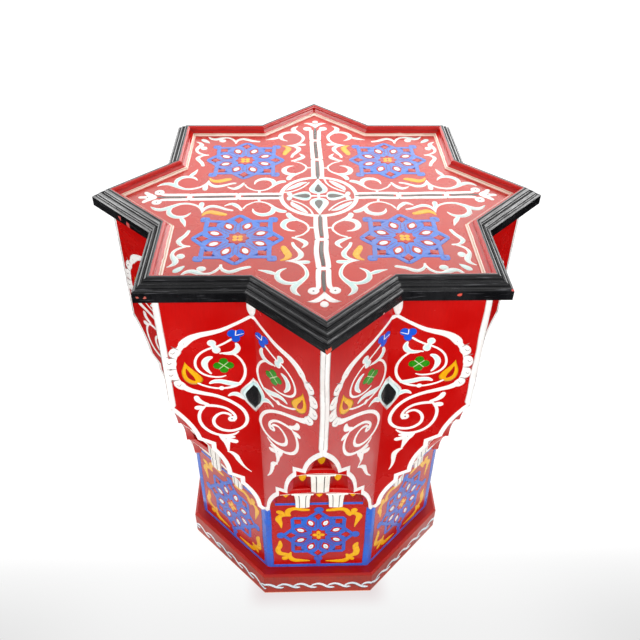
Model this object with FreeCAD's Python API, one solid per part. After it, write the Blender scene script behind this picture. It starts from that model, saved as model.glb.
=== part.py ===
import FreeCAD, Part
import math
import os

# A Moroccan kursi: a painted wooden stool or small table with an eight-pointed star top.
# Millimetres, Z up, the origin on the floor under the middle of the stool.
# Everything is drawn on the star point that faces -Y and then turned about Z, 45 degrees a time:
# "reach" is the distance out from the axis towards that point, and x runs to its right.

V = FreeCAD.Vector

# Driving dimensions

# The whole stool
star_tip_radius = 225.0
stool_height = 480.0
star_points = 8

# Moulded rim round the top, in sixteen mitred lengths
rim_height = 18.0
rim_projection = 12.4
rim_lip = 10.1
rim_face_height = 8.6
rim_nosing = 2.4
rim_quirk_depth = 1.0
rim_quirk_width = 1.5
rim_ridge_inset = 12.7
rim_ridge_width = 1.0
rim_foot_bead = 3.0
rim_foot_height = 2.2

# Top board, and the boards of the eight hanging points
top_thickness = 9.5
wall_thickness = 8.0

# Heights of the hanging boards: their foot, and the three rows of carving behind them
board_foot_z = 156.0
lower_row_height = 48.0
middle_row_height = 56.0
upper_row_height = 60.0
ledge_height = 8.4

# Scalloped lower edge of a hanging board: an arch for each row, with a step over each ledge
step_rise = 7.4
last_arch_rise = 6.7
arch_bulge = 3.6

# Places on that edge, as shares of the board's width from its outer corner
upper_ledge_share = 0.411
lower_ledge_share = 0.717
last_arch_share = 0.9065
step_share = 0.15

# Carved stalactite work under each point
ledge_hollow = 2.5
ledge_nosing = 0.8
cell_block_depth = 9.0
cell_lip = 2.0
crown_block_rise = 12.0
scoop_depth = 3.0
scoop_margin = 1.4
scoop_head = 10.0
pier_width = 18.3
small_pier_width = 14.6
pier_stand = 3.2
pier_foot_rise = 5.5
small_pier_foot_rise = 7.5
pier_flare = 4.9
pier_flare_height = 13.0
cove_foot = 1.0
glue_line = 0.1

# Octagonal core and its plinth
core_thickness = 10.0
plinth_thickness = 12.5
plinth_height = 37.0
plinth_bevel = 3.0

# Chords that stand for each quarter curve of the rim and of the carving
curve_chords = 4

# Blocks and cleats inside
corner_block_leg = 16.0
corner_block_foot_gap = 12.0
cleat_depth = 15.0
cleat_margin = 4.0

cut_overrun = 5.0

# Worked out from those
turn_degrees = 360.0 / star_points
half_turn = math.radians(turn_degrees / 2)
slant = math.sqrt(2.0)
rim_face_distance = star_tip_radius / slant
wall_face_distance = rim_face_distance - rim_projection
arris_radius = wall_face_distance * slant
valley_radius = wall_face_distance / math.cos(half_turn)
core_face_distance = valley_radius * math.cos(half_turn)
inner_arris_radius = arris_radius - wall_thickness * slant
wall_run = (arris_radius - core_face_distance) * slant
upper_ledge_run = wall_run * upper_ledge_share
lower_ledge_run = wall_run * lower_ledge_share
last_arch_run = wall_run * last_arch_share
step_run = wall_run * step_share
lower_ledge_z = board_foot_z + lower_row_height
upper_ledge_z = lower_ledge_z + middle_row_height
arch_crown_z = upper_ledge_z + upper_row_height
top_underside_z = stool_height - rim_height
far_out = star_tip_radius + cut_overrun


def outline_face(place, corners):
    """Face inside an outline of corners, each put in space by place."""
    points = [place(corner) for corner in corners]
    return Part.Face(Part.makePolygon(points + points[:1]))


def plan_prism(corners, low, high):
    """Upright prism on a plan outline of (x, reach) corners."""
    face = outline_face(lambda corner: V(corner[0], -corner[1], low), corners)
    return face.extrude(V(0, 0, high - low))


def quarter_curve(start, end):
    """Corners, after the first, of a quarter ellipse that leaves start upright and ends level."""
    corners = []
    for step in range(1, curve_chords + 1):
        angle = math.pi / 2 * step / curve_chords
        corners.append((end[0] + (start[0] - end[0]) * math.cos(angle),
                        start[1] + (end[1] - start[1]) * math.sin(angle)))
    return corners


def wedge(low_angle, high_angle, low, high):
    """Slice of pie about the axis, for mitres that lie on planes through it."""
    corners = [(0, 0)]
    for angle in (low_angle, high_angle):
        size = far_out / math.cos(half_turn)
        corners.append((size * math.sin(angle), size * math.cos(angle)))
    return plan_prism(corners, low, high)


def mirrored(shape):
    """The same piece on the other side of the star point."""
    return shape.mirror(V(0, 0, 0), V(1, 0, 0))


def turned(shape, index):
    """The piece of star point number index, counted from the one that faces -Y."""
    copy = shape.copy()
    copy.rotate(V(0, 0, 0), V(0, 0, 1), turn_degrees * index)
    return copy


def write(name, shape):
    """One file for each sub-part."""
    shape.exportStep("parts/" + name + ".step")


def along_wall(run, z):
    """Point on the outer face of the right-hand hanging board, run along it from its outer corner."""
    return V(run / slant, run / slant - arris_radius, z)


def straight(start, end):
    """Straight edge on the outer face of a hanging board."""
    return Part.LineSegment(along_wall(*start), along_wall(*end)).toShape()


def scalloped_edges():
    """Lower edge of a hanging board: an arch for each row of cells, with a step over each ledge."""
    upper_top = upper_ledge_z + ledge_height
    lower_top = lower_ledge_z + ledge_height
    arches = [((0, arch_crown_z), (upper_ledge_run - step_run, upper_top + step_rise)),
              ((upper_ledge_run, upper_ledge_z), (lower_ledge_run - step_run, lower_top + step_rise)),
              ((lower_ledge_run, lower_ledge_z), (last_arch_run, board_foot_z + last_arch_rise))]
    steps = [[(upper_ledge_run, upper_top)], [(lower_ledge_run, lower_top)],
             [(wall_run - arch_bulge, board_foot_z)]]
    edges = []
    for (crown, foot), corners in zip(arches, steps):
        middle = ((crown[0] + foot[0]) / 2 + arch_bulge, (crown[1] + foot[1]) / 2)
        points = [along_wall(*point) for point in (crown, middle, foot)]
        edges.append(Part.Arc(*points).toShape())
        if crown[0] > 0:
            edges.insert(-1, straight(last_corner, crown))
        edges.append(straight(foot, corners[0]))
        last_corner = corners[0]
    return edges, last_corner


def wall_board():
    """Right-hand board of a star point, with its scalloped lower edge, mitre and bevelled back end."""
    edges, here = scalloped_edges()
    end_run = wall_run + wall_thickness
    for corner in [(end_run, board_foot_z), (end_run, top_underside_z),
                   (-wall_thickness, top_underside_z), (-wall_thickness, arch_crown_z),
                   (0, arch_crown_z)]:
        edges.append(straight(here, corner))
        here = corner
    inward = V(-wall_thickness / slant, wall_thickness / slant, 0)
    board = Part.Face(Part.Wire(edges)).extrude(inward)
    inner_end = inner_arris_radius - core_face_distance
    outer_end = arris_radius - core_face_distance
    plan = [(0, arris_radius), (outer_end, core_face_distance), (inner_end, core_face_distance),
            (0, inner_arris_radius)]
    return board.common(plan_prism(plan, board_foot_z - cut_overrun, top_underside_z + cut_overrun))


def quirk(start):
    """Corners of a small V-shaped groove of the rim, from a point of its section."""
    inset, height = start
    return [(inset + rim_quirk_width / 2, height - rim_quirk_depth), (inset + rim_quirk_width, height)]


def rim_profile():
    """Section of the rim: corners as (inset from its outer face, height above its underside)."""
    corners = [(0, 0), (0, rim_face_height)]
    nosing_end = (rim_nosing, rim_face_height + rim_nosing)
    corners += quarter_curve(corners[-1], nosing_end)
    bead_width = (rim_ridge_inset - rim_nosing) / 2 - rim_quirk_width
    bead_rise = (rim_height - nosing_end[1]) / 2
    for bead in range(2):
        corners += quirk(corners[-1])
        inset, height = corners[-1]
        corners += quarter_curve((inset, height), (inset + bead_width, height + bead_rise))
    lip_end = rim_projection + rim_lip
    foot_top = top_thickness + rim_foot_height
    crest = (rim_ridge_inset + rim_ridge_width, rim_height)
    foot = (lip_end - rim_foot_bead, foot_top)
    middle = ((crest[0] + foot[0]) / 2, (crest[1] + foot[1]) / 2)
    corners += [crest] + quarter_curve(middle, crest)[-2::-1] + [middle]
    corners += [(middle[0] + rim_quirk_width / 2, middle[1] - rim_quirk_depth)]
    corners += [foot, (lip_end - rim_foot_height / 2, foot_top), (lip_end, foot_top - rim_foot_height / 2)]
    return corners + [(lip_end, top_thickness), (rim_projection, top_thickness), (rim_projection, 0)]


def rim_length():
    """Right-hand length of rim of a star point, mitred at the tip and at the valley."""
    def place(corner):
        inset, height = corner
        middle = (rim_face_distance - inset) / slant
        return V(middle - rim_face_distance, -(middle + rim_face_distance), top_underside_z + height)

    length = 2 * rim_face_distance
    bar = outline_face(place, rim_profile()).extrude(V(length, length, 0))
    return bar.common(wedge(0, half_turn, top_underside_z - cut_overrun, stool_height + cut_overrun))


def top_board():
    """Star-shaped board that the rim frames."""
    corners = []
    for index in range(star_points):
        tip = math.radians(turn_degrees) * index
        corners.append((arris_radius * math.sin(tip), arris_radius * math.cos(tip)))
        valley = tip + half_turn
        corners.append((valley_radius * math.sin(valley), valley_radius * math.cos(valley)))
    return plan_prism(corners, top_underside_z, top_underside_z + top_thickness)


def ring_board(face_distance, thickness, low, high):
    """One of eight boards round an octagon, mitred on planes through the axis."""
    half = face_distance * math.tan(half_turn)
    inner = face_distance - thickness
    inner_half = inner * math.tan(half_turn)
    plan = [(-half, face_distance), (half, face_distance), (inner_half, inner), (-inner_half, inner)]
    return plan_prism(plan, low, high)


def plinth_board():
    """Length of the plinth, with the bevel on its upper outer edge."""
    face_distance = core_face_distance + plinth_thickness
    bar = [(core_face_distance, 0), (face_distance, 0), (face_distance, plinth_height - plinth_bevel),
           (face_distance - plinth_bevel, plinth_height), (core_face_distance, plinth_height)]
    half = face_distance * math.tan(half_turn) + cut_overrun
    face = outline_face(lambda p: V(-half, -p[0], p[1]), bar)
    return face.extrude(V(2 * half, 0, 0)).common(
        wedge(-half_turn, half_turn, -cut_overrun, plinth_height + cut_overrun))


def inside_walls(low_reach, high_reach):
    """Plan corners of the room between the two hanging boards, from one reach to another."""
    return [(-(inner_arris_radius - low_reach), low_reach),
            (inner_arris_radius - low_reach, low_reach),
            (inner_arris_radius - high_reach, high_reach),
            (-(inner_arris_radius - high_reach), high_reach)]


def ledge(run, underside):
    """Thin shelf let in between the hanging boards, its front edge hollowed in plan."""
    half = run / slant
    front = arris_radius - half
    inset = wall_thickness / slant
    end_half = inner_arris_radius - core_face_distance
    ends = [V(half, -front, underside), V(half - inset, inset - front, underside),
            V(end_half, -core_face_distance, underside)]
    corners = ends + [V(-end.x, end.y, underside) for end in ends[::-1]]
    hollow = Part.Arc(corners[-1], V(0, ledge_hollow - front, underside), corners[0])
    wire = Part.Wire([hollow.toShape()] + Part.makePolygon(corners).Edges)
    return Part.Face(wire).extrude(V(0, 0, ledge_height))


def ledge_front(run):
    """Reach of the middle of a ledge's front edge, less its small nosing."""
    return arris_radius - run / slant - ledge_hollow - ledge_nosing


def cell_block(front, upper_front, low, high):
    """Block behind one row of cells: upright in front, then coved out to the ledge above."""
    rise = upper_front - front
    spring = high - cell_lip - rise
    back = front - cell_block_depth
    half = inner_arris_radius - back
    cove = quarter_curve((front, spring), (upper_front, high - cell_lip))
    section = [(back, low), (front, low), (front, spring)] + cove + [(upper_front, high), (back, high)]
    face = outline_face(lambda p: V(-half, -p[0], p[1]), section)
    room = plan_prism(inside_walls(back, upper_front), low, high)
    return face.extrude(V(2 * half, 0, 0)).common(room), spring


def scoop(centre, half_width, front, low, spring):
    """Tool for the shallow upright hollow of one cell, run out into the cove above."""
    radius = (half_width ** 2 + scoop_depth ** 2) / (2 * scoop_depth)
    axis_reach = front - scoop_depth + radius
    head_radius = radius - min(2 * scoop_depth, radius / 2)
    outline = [(0, low - cut_overrun), (radius, low - cut_overrun), (radius, spring),
               (head_radius, spring + scoop_head), (0, spring + scoop_head)]
    face = outline_face(lambda p: V(centre + p[0], -axis_reach, p[1]), outline)
    return face.revolve(V(centre, -axis_reach, 0), V(0, 0, 1), 360)


def pier(centre, width, base, upper_front, foot, high, room):
    """White pier between two cells: a flat strip that bends out under the ledge and widens there,
    into the room that it has to each side."""
    crown = high - cell_lip
    spring = crown - (upper_front - base)
    half = width / 2
    seat = base + glue_line
    stand = base + pier_stand
    back_curve = quarter_curve((seat, spring), (upper_front, crown - glue_line))
    front_curve = quarter_curve((stand, spring), (upper_front, crown - pier_stand))
    section = [(seat, foot), (stand, foot), (stand, spring)] + front_curve + back_curve[::-1]
    side = outline_face(lambda p: V(centre - upper_front, -p[0], p[1]), section + [(seat, spring)])
    strip = side.extrude(V(2 * upper_front, 0, 0))
    flare_z = crown - pier_flare_height
    wide = min(half + pier_flare, room - glue_line)
    flare = quarter_curve((half, flare_z), (wide, crown))
    right = [(half, foot - cut_overrun), (half, flare_z)] + flare
    right.append((wide, crown + cut_overrun))
    left = [(-across, z) for across, z in right[::-1]]
    view = outline_face(lambda p: V(centre + p[0], 0, p[1]), right + left)
    return strip.common(view.extrude(V(0, -far_out, 0)))


def stalactite_work():
    """Ledges, cell blocks and piers that step in under one star point, in three rows of 1, 2 and 3."""
    upper = ledge(upper_ledge_run, upper_ledge_z)
    lower = ledge(lower_ledge_run, lower_ledge_z)
    front_1 = ledge_front(upper_ledge_run)
    front_2 = ledge_front(lower_ledge_run)
    half_pier = pier_width / 2

    crown_low = upper_ledge_z + ledge_height
    crown_front = inner_arris_radius - scoop_margin
    crown, spring = cell_block(front_1, crown_front, crown_low, arch_crown_z)
    back = front_1 - cell_block_depth
    cap = plan_prism(inside_walls(back, crown_front), arch_crown_z, arch_crown_z + crown_block_rise)
    crown = crown.fuse(cap).removeSplitter()
    crown = crown.cut(scoop(0, half_pier + scoop_margin, front_1, crown_low, spring))

    low = lower_ledge_z + ledge_height
    pair, spring = cell_block(front_2, front_1, low, upper_ledge_z)
    cell_centre = front_1 - front_2
    for side in (-1, 1):
        pair = pair.cut(scoop(side * cell_centre, cell_centre - half_pier, front_2, low, spring))

    base = core_face_distance
    row, spring = cell_block(base + cove_foot, front_2, base, lower_ledge_z)
    room = plan_prism(inside_walls(base, front_2), spring, lower_ledge_z)
    row = row.common(room)

    piers = [pier(0, pier_width, front_2 + ledge_nosing, front_1, lower_ledge_z + pier_foot_rise,
                  upper_ledge_z, inner_arris_radius - front_1)]
    side_room = min(cell_centre, inner_arris_radius - front_2 - cell_centre)
    for side in (-1, 1):
        piers.append(pier(side * cell_centre, small_pier_width, base + cove_foot, front_2,
                          board_foot_z + small_pier_foot_rise, lower_ledge_z, side_room))
    return Part.makeCompound([upper, lower, crown, pair, row] + piers)


def corner_block():
    """Glue block in the corner between two core boards, to the right of the star point."""
    inner = core_face_distance - core_thickness
    corner = (inner * math.tan(half_turn), inner)
    along = (corner[0] - corner_block_leg, inner)
    turn = 2 * half_turn
    other = (corner[0] + corner_block_leg * math.cos(turn), inner - corner_block_leg * math.sin(turn))
    return plan_prism([corner, along, other], corner_block_foot_gap, top_underside_z)


def point_cleat():
    """Cleat under the top board in a star point, glued to both hanging boards and to the core."""
    high_reach = inner_arris_radius - cleat_margin
    return plan_prism(inside_walls(core_face_distance, high_reach),
                      top_underside_z - cleat_depth, top_underside_z)


os.makedirs("parts", exist_ok=True)

write("top_board", top_board())

wall = wall_board()
rim = rim_length()
core = ring_board(core_face_distance, core_thickness, 0, top_underside_z)
plinth = plinth_board()
carving = stalactite_work()
for index in range(star_points):
    number = index + 1
    for side, shape in enumerate((wall, mirrored(wall))):
        write("wall_board_%02d" % (2 * index + side + 1), turned(shape, index))
    for side, shape in enumerate((rim, mirrored(rim))):
        write("rim_moulding_%02d" % (2 * index + side + 1), turned(shape, index))
    write("core_board_%d" % number, turned(core, index))
    write("plinth_moulding_%d" % number, turned(plinth, index))
    write("muqarnas_point_%d" % number, turned(carving, index))

block = corner_block()
cleat = point_cleat()
write("corner_glue_blocks", Part.makeCompound([turned(block, i) for i in range(star_points)]))
write("point_cleats", Part.makeCompound([turned(cleat, i) for i in range(star_points)]))
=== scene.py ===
import math

import bmesh
import bpy
import numpy as np
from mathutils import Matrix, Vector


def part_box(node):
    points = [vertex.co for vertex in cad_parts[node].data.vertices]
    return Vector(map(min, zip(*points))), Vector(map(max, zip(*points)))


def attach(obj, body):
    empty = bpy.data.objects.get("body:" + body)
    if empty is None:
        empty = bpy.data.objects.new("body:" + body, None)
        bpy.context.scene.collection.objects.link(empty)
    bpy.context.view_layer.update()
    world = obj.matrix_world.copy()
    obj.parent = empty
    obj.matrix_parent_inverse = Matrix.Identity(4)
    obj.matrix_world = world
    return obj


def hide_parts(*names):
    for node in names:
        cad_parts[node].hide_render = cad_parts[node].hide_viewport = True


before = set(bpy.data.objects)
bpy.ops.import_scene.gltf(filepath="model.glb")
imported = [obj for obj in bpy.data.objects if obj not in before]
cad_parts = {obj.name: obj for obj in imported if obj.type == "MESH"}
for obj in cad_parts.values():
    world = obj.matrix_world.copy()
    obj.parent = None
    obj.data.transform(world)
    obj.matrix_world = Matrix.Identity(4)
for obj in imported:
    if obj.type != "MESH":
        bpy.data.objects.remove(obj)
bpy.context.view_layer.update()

# The view: the stool stands free on a pale floor and is seen from above its front point, by a
# 40 mm lens on a frame 36 mm wide, held 83 cm above the floor and 62 cm in front of the axis.
scene = bpy.context.scene
scene.view_settings.view_transform = "Standard"
camera = bpy.data.objects.new("camera", bpy.data.cameras.new("camera"))
scene.collection.objects.link(camera)
camera.data.sensor_width = 36.0
camera.data.lens = 39.77
camera.location = (-0.0227, -0.6240, 0.8274)
camera.rotation_euler = (0.8790, -0.0138, -0.0304)
scene.camera = camera


# Core boards: eight softwood boards mitred into an octagon and glued over blocks in its corners.
# They have a glossy red oil paint, and on each face a blue interlaced star with white drops and
# yellow leaves, all brushed on by hand inside a blue frame.
mm = 0.001
points_of_star = 8
eighth = math.tau / points_of_star
core_reach = -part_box("core_board_1")[0].y / mm
core_half = core_reach * math.tan(eighth / 2)


class Shade:
    """One socket of a material. Sums written with it add the Math nodes that work them out."""

    def __init__(self, socket):
        self.socket = socket

    def make(self, kind, settings, inputs, output=0):
        """Adds a node of any other kind: its settings first, then values or links on its sockets."""
        tree = self.socket.id_data
        node = tree.nodes.new("ShaderNode" + kind)
        for name, value in settings.items():
            setattr(node, name, value)
        for name, value in inputs.items():
            if isinstance(value, Shade):
                tree.links.new(value.socket, node.inputs[name])
            else:
                node.inputs[name].default_value = value
        return Shade(node.outputs[output])

    def math(self, operation, *others):
        """Adds a Math node that works on this and the others."""
        return self.make("Math", {"operation": operation}, dict(enumerate((self, *others))))

    def __add__(self, other):
        return self.math("ADD", other)

    def __sub__(self, other):
        return self.math("SUBTRACT", other)

    def __rsub__(self, other):
        return self.math("MULTIPLY_ADD", -1.0, other)

    def __mul__(self, other):
        return self.math("MULTIPLY", other)

    def __abs__(self):
        return self.math("ABSOLUTE")

    __radd__ = __add__
    __rmul__ = __mul__

    def between(self, low, high):
        """Rises smoothly from 0 at low to 1 at high."""
        inputs = {"Value": self, "From Min": low, "From Max": high}
        return self.make("MapRange", {"interpolation_type": "SMOOTHSTEP"}, inputs)

    def band(self, start, full, fade, end):
        """Rises smoothly from 0 at start to 1 at full, and falls from 1 at fade to 0 at end."""
        return self.between(start, full) - self.between(fade, end)

    def axis(self, number):
        """One part of a place or direction: 0 is x, 1 is y and 2 is z."""
        return self.make("SeparateXYZ", {}, {0: self}, number)

    def blend(self, under, over):
        """The colour under where this is 0, and over where it is 1."""
        return self.make("Mix", {"data_type": "RGBA"}, {0: self, 6: under, 7: over}, 2)

    def noise(self, size, detail=2.0, stretch=(1.0, 1.0, 1.0)):
        """Clouds about size metres across at this place, drawn out along the axes by stretch."""
        scale = [1 / (size * share) for share in stretch]
        place = self.make("VectorMath", {"operation": "MULTIPLY"}, {0: self, 1: scale})
        return place.make("TexNoise", {}, {"Vector": place, "Scale": 1.0, "Detail": detail})


def shown(red, green, blue):
    """A colour as it looks, 0 to 255, as amounts of light: the power curve of the screen undone."""
    parts = np.array([red, green, blue]) / 255
    light = np.where(parts <= 0.04045, parts / 12.92, ((parts + 0.055) / 1.055) ** 2.4)
    return (*light.tolist(), 1.0)


class OilPaint:
    """A brushed coat of glossy oil paint, with what is painted over it, as one material. Its colour
    turns to thin where the brush left less of it. Colours are given as they look, 0 to 255."""

    def __init__(self, name, colour, thin, gloss_tint=(1.0, 0.985, 0.88, 1.0)):
        self.material = bpy.data.materials.new(name)
        self.material.use_nodes = True
        tree = self.material.node_tree
        self.shader = tree.nodes["Principled BSDF"]
        self.shader.inputs["Specular Tint"].default_value = gloss_tint
        self.place = Shade(tree.nodes.new("ShaderNodeTexCoord").outputs["Object"])
        # Brush strokes are 1.6 mm wide and upright, and patches of thicker paint 35 mm across.
        self.strokes = self.place.noise(0.0016, 3.0, (1.0, 1.0, 7.0))
        patches = self.place.noise(0.035, 4.0)
        cover = (patches * 0.65 + self.strokes * 0.35).between(0.36, 0.62)
        self.colour = cover.blend(shown(*thin), shown(*colour))
        self.gloss = patches

    def over(self, mask, colour):
        """Another colour where the mask is 1."""
        self.colour = mask.blend(self.colour, shown(*colour))

    def done(self, smooth=0.16, dull=0.30, brush=0.00006):
        """Links the coat to its shader: its roughness between two values, its brush marks as bump."""
        rough = self.gloss.between(0.3, 0.7) * (dull - smooth) + smooth
        marks = {"Height": self.strokes, "Distance": brush, "Strength": 1.0}
        bump = self.strokes.make("Bump", {}, marks)
        links = self.material.node_tree.links
        links.new(self.colour.socket, self.shader.inputs["Base Color"])
        links.new(rough.socket, self.shader.inputs["Roughness"])
        links.new(bump.socket, self.shader.inputs["Normal"])
        return self.material


def small_brush(*coat):
    """A colour laid on with the small brush, which dries a little duller than the ground."""
    return OilPaint(*coat).done(0.2, 0.34)


def paint_all(names, count, material):
    """Puts a material on the CAD pieces that are named by the number, from 1 to the count."""
    for number in range(1, count + 1):
        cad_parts[names % number].data.materials[0] = material


core_paint = OilPaint("core_red_paint", (190, 16, 10), (174, 10, 9)).done()
paint_all("core_board_%d", points_of_star, core_paint)

# How brushed paint stands on a board, in mm: how deep it is, how strokes and dabs are domed, how
# finely their lines are divided, and from which half width on a stroke has its full depth. A copy
# by hand is off by slow waves: their height, and how fast they turn in radians for each mm.
paint_depth = 0.07
across_stroke = np.array([-1.03, -0.8, 0.0, 0.8, 1.03])
stroke_dome = np.array([-0.15, 0.8, 1.0, 0.8, -0.15]) * paint_depth
dab_rings = np.array([1.02, 0.85, 0.45, 0.1])
dab_dome = np.array([-0.15, 0.8, 1.0, 1.0]) * paint_depth
end_steps = np.array([0.04, 0.15, 0.35, 0.65])
stroke_step, dab_step = 1.4, 1.1
parts_of_cubic = 16
deep_half_width = 0.7
hand_error, hand_pace = 0.35, 0.07


def smooth_line(points, closed, step=stroke_step):
    """Curve through drawn points: between two of them runs a cubic whose ends are parallel to the
    lines between their neighbours. It is divided again into even steps, finer at open ends."""
    points = np.array(points, float)
    guides = [points[-1:], points, points[:2]] if closed else [points[:1], points, points[-1:]]
    guides = np.concatenate(guides)
    before, start, end, after = guides[:-3], guides[1:-2], guides[2:-1], guides[3:]
    share = np.linspace(0, 1, parts_of_cubic, endpoint=False)[:, None, None]
    cubic = 3 * (start - end) + after - before
    square = 2 * before - 5 * start + 4 * end - after
    line = start + share / 2 * (end - before + share * (square + share * cubic))
    line = np.concatenate([line.transpose(1, 0, 2).reshape(-1, points.shape[1]), end[-1:]])
    travel = np.concatenate([[0], np.cumsum(np.hypot(*np.diff(line[:, :2], axis=0).T))])
    even = np.linspace(0, travel[-1], max(4, int(travel[-1] / step) + 1))
    if not closed:
        first, last = end_steps * line[0, 2] / 2, travel[-1] - end_steps * line[-1, 2] / 2
        even = np.unique(np.clip(np.concatenate([even, first, last]), 0, travel[-1]))
    return np.stack([np.interp(even, travel, column) for column in line.T] + [even], 1)


def rings(flat, lift, closed=False):
    """A mark as places, face corners and face sizes, from rings of flat points and their lifts:
    each ring is joined to the next, and the first and last are capped unless they meet."""
    count, around = lift.shape
    ring, point = np.indices((count - (not closed), around))
    after = (ring + 1) % count * around
    beside = (point + 1) % around
    ring = ring * around
    corners = np.stack([ring + point, ring + beside, after + beside, after + point], -1).ravel()
    sizes = np.full(len(corners) // 4, 4)
    if not closed:
        cap = np.arange(around)
        corners = np.concatenate([corners, cap, cap + (count - 1) * around])
        sizes = np.concatenate([sizes, [around, around]])
    places = np.concatenate([flat, lift[..., None]], -1).reshape(-1, 3)
    return places, corners, sizes


def stroke(*points, closed=False):
    """One pull of the brush through points (x, y, width): five points across its line, domed, as
    wide as the brush was pressed. At an open end the half width falls off as a quarter circle."""
    line = smooth_line(points, closed)
    line = line[:-1] if closed else line
    centre, half, travel = line[:, :2], line[:, 2] / 2, line[:, 3]
    if closed:
        ahead = np.roll(centre, -1, 0) - np.roll(centre, 1, 0)
    else:
        ahead = np.gradient(centre, axis=0)
        to_end = np.minimum(np.minimum(travel, travel[-1] - travel) / half, 1)
        half = half * np.sqrt(np.maximum(1 - (1 - to_end) ** 2, 0.01))
    beside = np.stack([-ahead[:, 1], ahead[:, 0]], 1) / np.hypot(*ahead.T)[:, None]
    flat = centre[:, None] + (across_stroke * half[:, None])[..., None] * beside[:, None]
    lift = stroke_dome * np.minimum(half / deep_half_width, 1)[:, None]
    return rings(flat, lift, closed)


def dab(*outline):
    """A filled mark: rings of a smooth outline that shrink to its middle and rise into a dome.
    A point that is given twice makes a corner."""
    edge = smooth_line(outline, True, dab_step)[:-1, :2]
    middle = edge.mean(0)
    flat = middle + dab_rings[:, None, None] * (edge - middle)
    return rings(flat, np.tile(dab_dome[:, None], len(edge)))


def evenly(count):
    """Angles of so many points spread evenly round a ring."""
    return np.linspace(0, math.tau, count, endpoint=False)


def spot(x, y, width, height=None, turn=0.0):
    """A dab with the outline of an ellipse, its first axis turned by some degrees."""
    angle = evenly(12)
    tilt = math.radians(turn)
    first = np.cos(angle) * width / 2
    second = np.sin(angle) * (height or width) / 2
    outline = np.stack([x + first * math.cos(tilt) - second * math.sin(tilt),
                        y + first * math.sin(tilt) + second * math.cos(tilt)], 1)
    return dab(*outline)


def wider(line, more, least=0.4):
    """A stroke along a line whose widths have grown by more, and are no less than the least."""
    return stroke(*[(x, y, max(width + more, least)) for x, y, width in line])


def with_corners(*corners):
    """A dab whose outline has a corner at every point."""
    return dab(*[corner for corner in corners for twice in range(2)])


def alike(*right):
    """Outline that is alike on both sides of x = 0: its right side, and the same points mirrored."""
    return (*right, *[(-x, y) for x, y in right[::-1] if x > 0])


def together(*drawings):
    """Several drawings as one."""
    starts = np.cumsum([0] + [len(places) for places, corners, sizes in drawings])
    corners = [corners + start for (places, corners, sizes), start in zip(drawings, starts)]
    return (np.concatenate([drawing[0] for drawing in drawings]), np.concatenate(corners),
            np.concatenate([drawing[2] for drawing in drawings]))


def moved(drawing, across=0.0, up=0.0, turn=0.0, flip=False, size=1.0, raised=0.0, hand=None):
    """The drawing mirrored, sized (by one share or two), turned and carried. With a hand number it is
    first made unsteady, as a copy by hand is: the sines of two slow waves are added along each axis.
    It is raised by so many depths of paint."""
    places, corners, sizes = drawing
    places = places.copy()
    if hand is not None:
        draw = np.random.default_rng(hand)
        waves = draw.normal(0, hand_pace, (2, 4))
        phase = places[:, :2] @ waves + draw.uniform(0, math.tau, 4)
        places[:, :2] += hand_error * (np.sin(phase[:, :2]) + np.sin(phase[:, 2:]))
    places[:, :2] *= size * np.array([-1 if flip else 1, 1])
    angle = math.radians(turn)
    x, y = places[:, 0].copy(), places[:, 1].copy()
    places[:, 0] = x * math.cos(angle) - y * math.sin(angle) + across
    places[:, 1] = x * math.sin(angle) + y * math.cos(angle) + up
    places[:, 2] += raised * paint_depth
    return places, corners, sizes


def add_piece(name, drawing, place, material, folds=()):
    """Makes a piece of a drawing: creases it where the surface under it folds, puts each corner
    where place says, and lets it ride on the stool."""
    places, corners, sizes = drawing
    mesh = bpy.data.meshes.new(name)
    mesh.vertices.add(len(places))
    mesh.vertices.foreach_set("co", places.ravel())
    mesh.loops.add(len(corners))
    mesh.loops.foreach_set("vertex_index", corners.astype(np.int32))
    mesh.polygons.add(len(sizes))
    mesh.polygons.foreach_set("loop_start", (np.cumsum(sizes) - sizes).astype(np.int32))
    mesh.update(calc_edges=True)
    work = bmesh.new()
    work.from_mesh(mesh)
    for fold in folds:
        everything = work.verts[:] + work.edges[:] + work.faces[:]
        bmesh.ops.bisect_plane(work, geom=everything, dist=0.0001, plane_co=(fold, 0, 0),
                               plane_no=(1, 0, 0))
    bmesh.ops.recalc_face_normals(work, faces=work.faces)
    work.to_mesh(mesh)
    work.free()
    flat = np.empty(len(mesh.vertices) * 3)
    mesh.vertices.foreach_get("co", flat)
    mesh.vertices.foreach_set("co", (place(flat.reshape(-1, 3)) * mm).ravel())
    mesh.update()
    piece = bpy.data.objects.new(name, mesh)
    scene.collection.objects.link(piece)
    mesh.materials.append(material)
    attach(piece, "root")
    return piece


near_fold = 0.0001


def wrapped(corners, start):
    """How paint drawn flat lies on a prism. The drawing's first axis runs round the prism's plan,
    from start at the first corner, its second is the height, and its third the lift off the face,
    which on a fold goes along the mitre of its two faces. Also gives where the folds are."""
    corners = np.array(corners)
    sides = np.roll(corners, -1, 0) - corners
    length = np.hypot(*sides[0])
    outward = np.stack([sides[:, 1], -sides[:, 0]], 1) / length
    last = np.roll(outward, 1, 0)
    mitre = (outward + last) / (1 + (outward * last).sum(1))[:, None]

    def place(flat):
        turn = (flat[:, 0] - start) / length
        side = np.floor(turn + near_fold).astype(int)
        share = turn - side
        side %= len(corners)
        normal = np.where(share[:, None] < 2 * near_fold, mitre[side], outward[side])
        plan = corners[side] + share[:, None] * sides[side] + flat[:, 2:] * normal
        return np.concatenate([plan, flat[:, 1:2]], 1)

    folds = start + length * np.arange(-1, len(corners) + 1)
    return place, folds, length


def octagon(reach):
    """Corners of an octagon round the axis, from the left end of its front face to the right."""
    angle = eighth * (np.arange(points_of_star) - 0.5)
    radius = reach / math.cos(eighth / 2)
    return np.stack([radius * np.sin(angle), -radius * np.cos(angle)], 1)


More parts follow.
